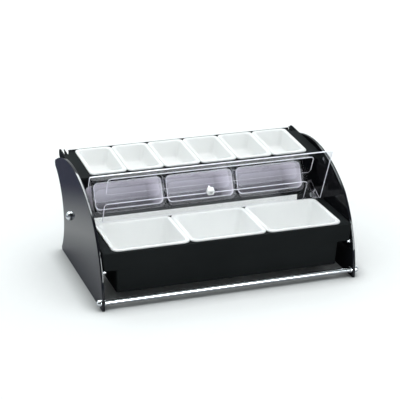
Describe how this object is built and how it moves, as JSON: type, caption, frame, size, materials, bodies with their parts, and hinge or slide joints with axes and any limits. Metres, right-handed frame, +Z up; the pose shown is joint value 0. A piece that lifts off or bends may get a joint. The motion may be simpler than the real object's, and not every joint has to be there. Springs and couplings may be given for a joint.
{
  "type": "bar condiment holder",
  "caption": "Counter-top bar condiment holder: side panels carry wide dishes in an ice tub, tilted clear bins behind a hinged clear lid, and a row of narrow dishes on top.",
  "frame": {"origin": "centre of the bounding box's footprint, on the counter that the side panels stand on", "axes": "+X along the rows of dishes to the right, -Y towards the user at the front, +Z up"},
  "size_m": [0.518, 0.353, 0.2239],
  "materials": {
    "black_acrylic": "polished",
    "black_plastic": "satin",
    "white_plastic": "semi-gloss",
    "clear_plastic": "clear, polished",
    "chrome": "polished"
  },
  "bodies": {
    "stand": {"left_side_panel": "black_acrylic", "right_side_panel": "black_acrylic", "front_rod": "chrome", "rod_cap_nuts": "chrome", "lower_tub": "black_plastic", "tub_support_pins": "chrome", "container_deck": "black_plastic", "wide_dish_left": "white_plastic", "wide_dish_centre": "white_plastic", "wide_dish_right": "white_plastic", "bin_rack": "black_plastic", "rack_studs": "chrome", "rack_cap_nuts": "chrome", "rack_support_pins": "chrome", "clear_bin_left": "clear_plastic", "clear_bin_centre": "clear_plastic", "clear_bin_right": "clear_plastic", "upper_tray": "black_plastic", "tray_screws": "chrome", "lid_hinge_pins": "chrome", "lid_hinge_spacers": "black_plastic"},
    "lid": {"lid_cover": "clear_plastic", "lid_knob": "white_plastic", "knob_screw": "chrome"},
    "narrow_dish_1": {"narrow_dish_1": "white_plastic"},
    "narrow_dish_2": {"narrow_dish_2": "white_plastic"},
    "narrow_dish_3": {"narrow_dish_3": "white_plastic"},
    "narrow_dish_4": {"narrow_dish_4": "white_plastic"},
    "narrow_dish_5": {"narrow_dish_5": "white_plastic"},
    "narrow_dish_6": {"narrow_dish_6": "white_plastic"}
  },
  "joints": [
    {"name": "lid_hinge", "type": "hinge", "parent": "stand", "child": "lid", "pos_m": [0, 0.01346, 0.104], "axis": [-1, 0, 0], "range_deg": [0, 29]},
    {"name": "narrow_dish_1_lift", "type": "slide", "parent": "stand", "child": "narrow_dish_1", "axis": [0, -0.0593, 0.9982], "range_m": [0, 0.05]},
    {"name": "narrow_dish_2_lift", "type": "slide", "parent": "stand", "child": "narrow_dish_2", "axis": [0, -0.0593, 0.9982], "range_m": [0, 0.05]},
    {"name": "narrow_dish_3_lift", "type": "slide", "parent": "stand", "child": "narrow_dish_3", "axis": [0, -0.0593, 0.9982], "range_m": [0, 0.05]},
    {"name": "narrow_dish_4_lift", "type": "slide", "parent": "stand", "child": "narrow_dish_4", "axis": [0, -0.0593, 0.9982], "range_m": [0, 0.05]},
    {"name": "narrow_dish_5_lift", "type": "slide", "parent": "stand", "child": "narrow_dish_5", "axis": [0, -0.0593, 0.9982], "range_m": [0, 0.05]},
    {"name": "narrow_dish_6_lift", "type": "slide", "parent": "stand", "child": "narrow_dish_6", "axis": [0, -0.0593, 0.9982], "range_m": [0, 0.05]}
  ]
}
